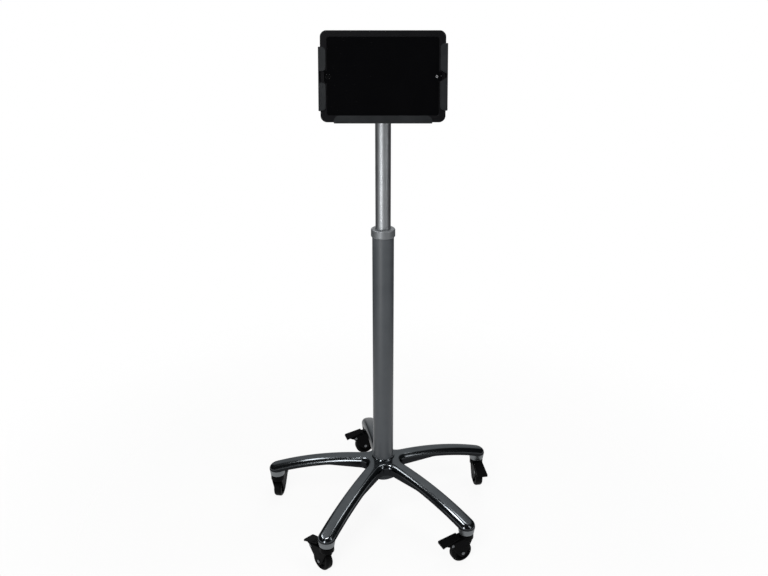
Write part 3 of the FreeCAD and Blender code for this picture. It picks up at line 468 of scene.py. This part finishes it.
# the angle between an arm's side and its middle line
flare = math.asin((star["bossRadius"] - star["rootHalfWidth"]) / stemCircle)
crotchReach = (star["rootHalfWidth"] + star["crotchRadius"]) / math.sin(armStep / 2 - flare)

# one arm's plan: X along it, Y off its middle line
armStem = Vector((stemCircle, 0))
armCrotch = Vector((math.cos(armStep / 2), math.sin(armStep / 2))) * crotchReach
sideWay = Vector((math.cos(flare), math.sin(flare)))
sideOut = Vector((-math.sin(flare), math.cos(flare)))
sideRoot = armCrotch - sideOut * star["crotchRadius"]


def facingOut(shape, way):
    # open shells have no inside, so most of their faces are made to look one way
    bmesh.ops.recalc_face_normals(shape, faces=shape.faces)
    if sum(face.normal.dot(way) for face in shape.faces) < 0:
        bmesh.ops.reverse_faces(shape, faces=shape.faces)


def wrapped(angle, step):
    # the angle within half a step of nought
    return angle - round(angle / step) * step


def armPlace(x, y):
    # a point seen from its own arm
    angle = wrapped(math.atan2(y, x) - firstArm, armStep)
    reach = math.hypot(x, y)
    return Vector((reach * math.cos(angle), abs(reach * math.sin(angle))))


def rimNear(spot, inset):
    # the nearest point that lies inset inside the outline, and how far inside it the spot itself lies
    boss, crotch = star["bossRadius"], star["crotchRadius"]
    if (spot - armStem).dot(sideWay) > 0:
        away = spot - armStem
        return armStem + away.normalized() * (boss - inset), boss - away.length
    if (spot - sideRoot).dot(sideWay) < 0:
        away = spot - armCrotch
        return armCrotch + away.normalized() * (crotch + inset), away.length - crotch
    inside = (sideRoot - spot).dot(sideOut)
    return spot + sideOut * (inside - inset), inside


def crownHeight(reach, depth=0.0):
    # the crown's ball, or one that lies depth inside it, at a reach from the column
    return star["crown"] - crownRadius + math.sqrt((crownRadius - depth) ** 2 - reach ** 2)


@lru_cache(maxsize=None)
def topHeight(x, y):
    # the crown with its shoulder rounded by a ball that rolls along inside the outline
    spot = armPlace(x, y)
    radius = star["shoulder"]
    if rimNear(spot * (1 - radius / crownRadius), radius)[1] >= radius:
        return crownHeight(spot.length)
    middle = rimNear(spot, radius)[0]
    outward = rimNear(spot, 0)[0] - middle
    tangent = Vector((-outward.y, outward.x)).normalized()

    def lift(shift):
        ball = rimNear(middle + tangent * shift, radius)[0]
        rise = radius ** 2 - (spot - ball).length_squared
        if rise < 0:
            return -math.inf  # this ball doesn't reach over the spot
        return crownHeight(ball.length, radius) + math.sqrt(rise)

    high = math.sqrt(max(radius ** 2 - (spot - middle).length_squared, 0.0))
    low = -high
    for step in range(star["searchSteps"]):
        third = (high - low) / 3
        if lift(low + third) < lift(high - third):
            low += third
        else:
            high -= third
    return max(lift((low + high) / 2), crownHeight(middle.length, radius))


def vertsIn(geom):
    return [item for item in geom if isinstance(item, bmesh.types.BMVert)]


def allOf(shape):
    return list(shape.verts) + list(shape.edges) + list(shape.faces)


def turnRound(shape, verts, angle):
    bmesh.ops.rotate(shape, verts=verts, cent=(0, 0, 0), matrix=Matrix.Rotation(angle, 3, "Z"))


def armPlan(shape):
    # half an arm: from the crotch's middle round to the tip on the arm's middle line, then all ten halves
    crotch, stem = armCrotch.to_3d(), armStem.to_3d()
    start = shape.verts.new(crotch.normalized() * (crotchReach - star["crotchRadius"]))
    made = bmesh.ops.spin(shape, geom=[start], cent=crotch, axis=up, angle=math.pi / 2 - armStep / 2 + flare,
                          steps=star["crotchSteps"])
    root = vertsIn(made["geom_last"])[0]
    shoulder = bmesh.ops.extrude_vert_indiv(shape, verts=[root])["verts"][0]
    shoulder.co = stem + sideOut.to_3d() * star["bossRadius"]
    made = bmesh.ops.spin(shape, geom=[shoulder], cent=stem, axis=-up, angle=math.pi / 2 + flare,
                          steps=star["tipSteps"])
    tip = vertsIn(made["geom_last"])[0]
    middle = bmesh.ops.extrude_vert_indiv(shape, verts=[tip])["verts"][0]
    middle.co = (0, 0, 0)
    shape.edges.new((middle, start))
    bmesh.ops.edgeloop_fill(shape, edges=shape.edges)
    bmesh.ops.mirror(shape, geom=allOf(shape), axis="Y", merge_dist=weld["mirror"])
    turnRound(shape, shape.verts, firstArm)
    one = allOf(shape)
    for arm in range(1, star["arms"]):
        copy = bmesh.ops.duplicate(shape, geom=one)["geom"]
        turnRound(shape, vertsIn(copy), arm * armStep)
    bmesh.ops.remove_doubles(shape, verts=shape.verts, dist=weld["arms"])
    facingOut(shape, up)


def insetShoulder(shape):
    # rows of faces along the outline, closer together where the shoulder is steeper
    core = list(shape.faces)
    done = 0.0
    for step in range(1, star["roundSteps"] + 1):
        reach = star["shoulder"] * (1 - math.cos(math.pi / 2 * step / star["roundSteps"]))
        bmesh.ops.inset_region(shape, faces=core, thickness=reach - done, use_boundary=True,
                               use_even_offset=True)
        done = reach


def cutStations(shape):
    # cuts across each arm, so that its top can follow the crown
    count = int((stemCircle + star["bossRadius"] - star["firstStation"]) / star["station"])
    for arm in range(star["arms"]):
        angle = firstArm + arm * armStep
        way = Vector((math.cos(angle), math.sin(angle), 0))
        for station in range(count):
            place = way * (star["firstStation"] + station * star["station"])
            faces = []
            for face in shape.faces:
                middle = face.calc_center_median()
                if abs(wrapped(math.atan2(middle.y, middle.x) - angle, 2 * math.pi)) < armStep / 2:
                    faces.append(face)
            edges = {edge for face in faces for edge in face.edges}
            verts = {vert for face in faces for vert in face.verts}
            bmesh.ops.bisect_plane(shape, geom=list(verts) + list(edges) + faces, dist=weld["cut"],
                                   plane_co=place, plane_no=way)


def buffedTop():
    shape = bmesh.new()
    armPlan(shape)
    insetShoulder(shape)
    cutStations(shape)
    outline = [edge for edge in shape.edges if edge.is_boundary]
    for vert in shape.verts:
        vert.co.z = topHeight(vert.co.x, vert.co.y)
    hem = bmesh.ops.extrude_edge_only(shape, edges=outline)["geom"]
    for vert in vertsIn(hem):
        under = crownHeight(math.hypot(vert.co.x, vert.co.y), star["depth"])
        vert.co.z = max(min(under, star["crown"] - star["rootDepth"]), star["bossFoot"])
    facingOut(shape, up)
    shape.normal_update()
    # painted shade mask: 1 on the crown, falling to 0 where the normal tips toward the flanks; the finish mixes
    # its dark shade tone in by it
    unshadedShare = shape.verts.layers.float.new("unshadedShare")
    for vert in shape.verts:
        vert[unshadedShare] = min(max((vert.normal.z - star["paintedShadeTilt"]) / star["paintedShadeBlend"], 0.0), 1.0)
    return shape


def isCovered(face):
    # true where the buffed top, the hub ring or a boss band lies over this face of star_base
    middle = face.calc_center_median()
    reach = math.hypot(middle.x, middle.y)
    if face.normal.z < cover["downward"] or middle.z < firstStem.z:
        return False
    places = [vert.co for vert in face.verts]
    ringFoot = star["crown"] - hubRing["sink"]
    if min(place.z for place in places) > ringFoot - cover["hub"] and reach < hubRing["foot"] + cover["hub"]:
        return reach > hubRing["bore"] + cover["bore"]
    if middle.z < star["bossFoot"]:
        away = [(armPlace(place.x, place.y) - armStem).length for place in places]
        bandWidth = star["bossRadius"] - bossBand["foot"]
        return max(abs(off - bossBand["foot"]) for off in away) < bandWidth + cover["band"]
    for place in places:
        onSide = rimNear(armPlace(place.x, place.y), 0)[1] < cover["side"]
        onTop = abs(place.z - topHeight(place.x, place.y)) < cover["top"]
        if not onSide and not onTop:
            return False
    return True


cornerSteps = 4  # in each softened corner of a turned profile


def turned(profile, centre, steps, softness, way):
    # a profile of (radius, height), its inner corners softened, turned round an upright axis, faced one way
    shape = bmesh.new()
    line = [shape.verts.new(Vector((radius, 0, height))) for radius, height in profile]
    for first, second in zip(line, line[1:]):
        shape.edges.new((first, second))
    bmesh.ops.bevel(shape, geom=line[1:-1], affect="VERTICES", offset=softness, segments=cornerSteps,
                    profile=0.5, material=-1)
    bmesh.ops.spin(shape, geom=allOf(shape), cent=(0, 0, 0), axis=up, angle=2 * math.pi, steps=steps,
                   use_merge=True)
    bmesh.ops.remove_doubles(shape, verts=shape.verts, dist=weld["turned"])
    bmesh.ops.translate(shape, verts=shape.verts, vec=centre)
    facingOut(shape, way)
    return shape


def addStar():
    # the arms' top, with painted shade on its flanks
    addPiece(buffedTop(), "buffed_star_top", "base", "buffedAluminiumPaintedShadeFlank",
             star["topSharp"])
    below = mergedCopy("star_base")
    bmesh.ops.delete(below, geom=[face for face in below.faces if isCovered(face)], context="FACES")
    # the underside's darker finish is painted shade
    under = addPiece(below, "star_underside", "base", "rawCastAluminiumPaintedShade",
                     star["undersideSharp"])
    ringTop = star["crown"] + hubRing["rise"]
    ring = turned([(hubRing["foot"], star["crown"] - hubRing["sink"]), (hubRing["top"], ringTop),
                   (hubRing["bore"], ringTop)],
                  Vector((0, 0, 0)), hubRing["steps"], hubRing["round"], up)
    addPiece(ring, "hub_ring", "base", "buffedCastAluminium", hubRing["sharp"])
    for number in casterNumbers:
        stem = Vector(joints["swivel_%d" % number]["pos_m"])
        band = turned([(bossBand["foot"] - bossBand["inward"], stem.z), (bossBand["foot"], stem.z),
                       (star["bossRadius"], star["bossFoot"])],
                      Vector((stem.x, stem.y, 0)), bossBand["steps"], bossBand["round"], -up)
        addPiece(band, "boss_band_%d" % number, "base", "blastedCastAluminium",
                 bossBand["sharp"])
    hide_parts("star_base")


addStar()
print("star base made")


# the pieces that are softened copies of their nodes, and the round on their edges
column = {"edgeRound": 0.3 * mm,
          "pieces": ["outer_column", "inner_column", "column_collar", "column_bolt", "column_washer",
                     "neck_clevis", "tilt_pin", "tilt_washers", "tilt_nut", "tilt_knuckle",
                     "rotation_washer", "rotation_plate", "collar_clamp_screw"]}
head = {"edgeRound": 0.25 * mm, "unrounded": "tablet_glass",
        "pieces": ["cradle", "case_back_shell", "case_front_frame", "tablet_glass", "cradle_screws",
                   "home_button"]}
caster = {"edgeRound": 0.25 * mm,
          "pieces": ["caster_fork", "caster_rivets", "wheel_core", "wheel_tread", "brake_lever"]}

for name in column["pieces"]:
    softened(name, column["edgeRound"])
print("column and joints dressed")

for name in head["pieces"]:
    softened(name, 0.0 if name == head["unrounded"] else head["edgeRound"])
print("head dressed")

for number in casterNumbers:
    for name in caster["pieces"]:
        softened("%s_%d" % (name, number), caster["edgeRound"])
print("casters dressed")


# ribs moulded across each brake lever, near its root, for the sole of a shoe
# first and root are distances from the stem, rootTop is the lever's height at root, slope its fall from there
leverRibs = {"count": 4, "first": 27.0 * mm, "spacing": 4.2 * mm, "width": 1.5 * mm, "height": 0.8 * mm,
             "halfLength": 9.0 * mm, "flare": 0.12, "round": 0.35 * mm, "roundSteps": 3,
             "root": 22.0 * mm, "rootTop": 67.6 * mm, "slope": 11.5 / 44.0}


def casterPlace(number):
    # a caster's own frame: X trails, Y is the axle, Z is up the stem, all at rest
    stem = Vector(joints["swivel_%d" % number]["pos_m"])
    wheel = Vector(joints["wheel_spin_%d" % number]["pos_m"])
    heading = math.atan2(wheel.y - stem.y, wheel.x - stem.x)
    return Matrix.Translation((stem.x, stem.y, 0)) @ Matrix.Rotation(heading, 4, "Z")


def addRib(shape, length, place):
    # a short bar with its upper edges rounded, put in place by a matrix
    made = bmesh.ops.create_cube(shape, size=1.0)["verts"]
    bmesh.ops.scale(shape, verts=made, vec=(leverRibs["width"], length, leverRibs["height"]))
    upper = {edge for vert in made for edge in vert.link_edges if min(v.co.z for v in edge.verts) > 0}
    ends = bmesh.ops.bevel(shape, geom=list(upper), affect="EDGES", offset=leverRibs["round"],
                           segments=leverRibs["roundSteps"], profile=0.5, material=-1)
    verts = {vert for face in ends["faces"] for vert in face.verts} | {vert for vert in made if vert.is_valid}
    bmesh.ops.transform(shape, verts=list(verts), matrix=place)


def addLeverRibs(number):
    shape = bmesh.new()
    lean = Matrix.Rotation(math.atan(leverRibs["slope"]), 4, "Y")
    for rib in range(leverRibs["count"]):
        along = leverRibs["first"] + rib * leverRibs["spacing"]
        top = leverRibs["rootTop"] - leverRibs["slope"] * (along - leverRibs["root"])
        length = 2 * (leverRibs["halfLength"] + leverRibs["flare"] * (along - leverRibs["first"]))
        place = casterPlace(number) @ Matrix.Translation((along, 0, top)) @ lean
        addRib(shape, length, place)
    addPiece(shape, "lever_ribs_%d" % number, "brake_%d" % number, "glassFilledNylon")


for number in casterNumbers:
    addLeverRibs(number)
print("lever ribs made")


# the tablet's own frame: X across the screen, Y up it, Z out of it, from the tilt axis
screenOut = Vector(joints["head_rotation"]["axis"])
screenUp = Vector(joints["tablet_slide"]["axis"])
tiltAxis = Vector(joints["head_tilt"]["pos_m"])
headTurn = Matrix((Vector((1, 0, 0)), screenUp, screenOut)).transposed()
headPlace = Matrix.Translation(tiltAxis) @ headTurn.to_4x4()


def frontOf(nodeName):
    # how far a node's front lies in front of the tilt axis
    return max((vert.co - tiltAxis).dot(screenOut) for vert in nodes[nodeName].data.vertices)


# small turned pieces that lie on the glass; inner is nought for a dot
screenDetails = [
    # the camera ring's pale finish is a painted glint
    {"name": "camera_ring", "body": "tablet", "slot": "tablet_metal", "finish": "paleRingPaintedGlint",
     "across": 109.0 * mm, "up": 0.0, "outer": 2.3 * mm, "inner": 1.5 * mm, "rise": 0.12 * mm,
     "round": 0.05 * mm, "steps": 40},
    # a light sensor whose pale steel tone is a painted glint, a dim one beside the camera
    {"name": "light_sensor", "body": "tablet", "slot": "lens_glass", "finish": "temperedSpringSteel",
     "across": 117.4 * mm, "up": 1.2 * mm, "outer": 1.1 * mm, "inner": 0.0, "rise": 0.1 * mm,
     "round": 0.05 * mm, "steps": 32},
    {"name": "home_button_rim", "body": "button", "slot": "button_plastic", "finish": "glossBlackPlastic",
     "across": -111.5 * mm, "up": 0.0, "outer": 5.5 * mm, "inner": 5.0 * mm, "rise": 0.1 * mm,
     "round": 0.05 * mm, "steps": 64},
]


def addScreenDetail(values, front):
    low, high = front - values["rise"], front + values["rise"]
    profile = [(values["inner"], high), (values["outer"], high), (values["outer"], low)]
    if values["inner"]:
        profile.insert(0, (values["inner"], low))
    shape = turned(profile, Vector((values["across"], values["up"], 0)), values["steps"], values["round"], up)
    bmesh.ops.transform(shape, verts=shape.verts, matrix=headPlace)
    addPiece(shape, values["name"], values["body"], values["finish"])


glassFront = frontOf("tablet_glass")
for detail in screenDetails:
    addScreenDetail(detail, glassFront)
print("screen details made")


bpy.context.view_layer.update()
